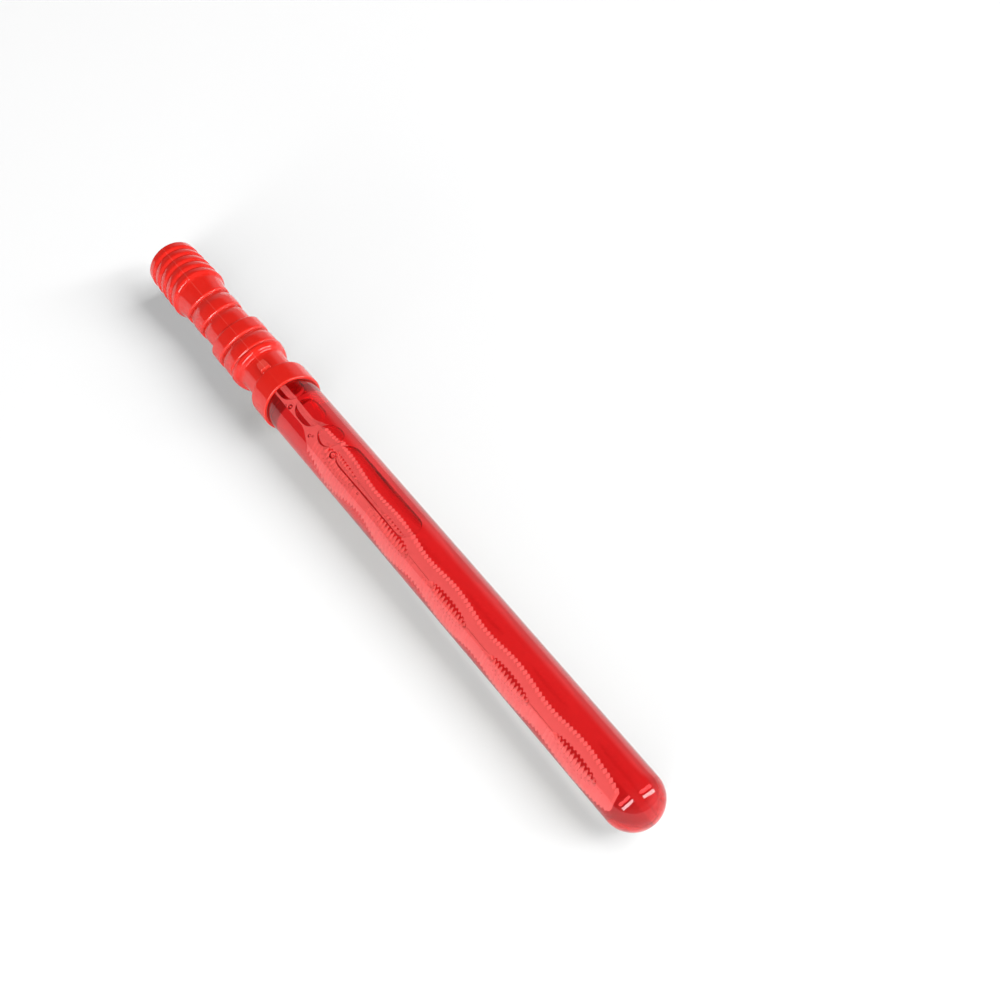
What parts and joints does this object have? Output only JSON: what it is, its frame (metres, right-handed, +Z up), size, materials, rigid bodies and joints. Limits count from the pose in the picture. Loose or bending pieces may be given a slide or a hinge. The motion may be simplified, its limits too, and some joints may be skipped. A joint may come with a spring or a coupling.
{
  "type": "bubble wand",
  "caption": "Long bubble wand: a clear round tube of soap solution closed by a ribbed screw handle that carries a flat toothed wand with slotted loops.",
  "frame": {"origin": "Under the middle of the overall length, on the plane that the collar rests on", "axes": "+X from the handle's end to the tube's closed tip, +Z up, +Y to the left when looking along +X"},
  "size_m": [0.3834, 0.0278, 0.0278],
  "materials": {
    "clear_red": "clear glossy red-tinted plastic",
    "red_plastic": "glossy, slightly translucent orange-red plastic",
    "natural_plastic": "uncoloured plastic, seen through the red tube",
    "grey_foam": "pale foam sealing ring"
  },
  "bodies": {
    "tube_body": {"tube": "clear_red"},
    "seal_body": {"seal_ring": "grey_foam"},
    "handle_body": {"handle": "red_plastic", "wand": "natural_plastic"}
  },
  "joints": [
    {"name": "pull_out", "type": "slide", "parent": "tube_body", "child": "seal_body", "axis": [-1, 0, 0], "range_m": [0, 0.275]},
    {"name": "unscrew", "type": "hinge", "parent": "seal_body", "child": "handle_body", "pos_m": [0, 0, 0.0139], "axis": [-1, 0, 0], "range_deg": [0, 450]}
  ]
}
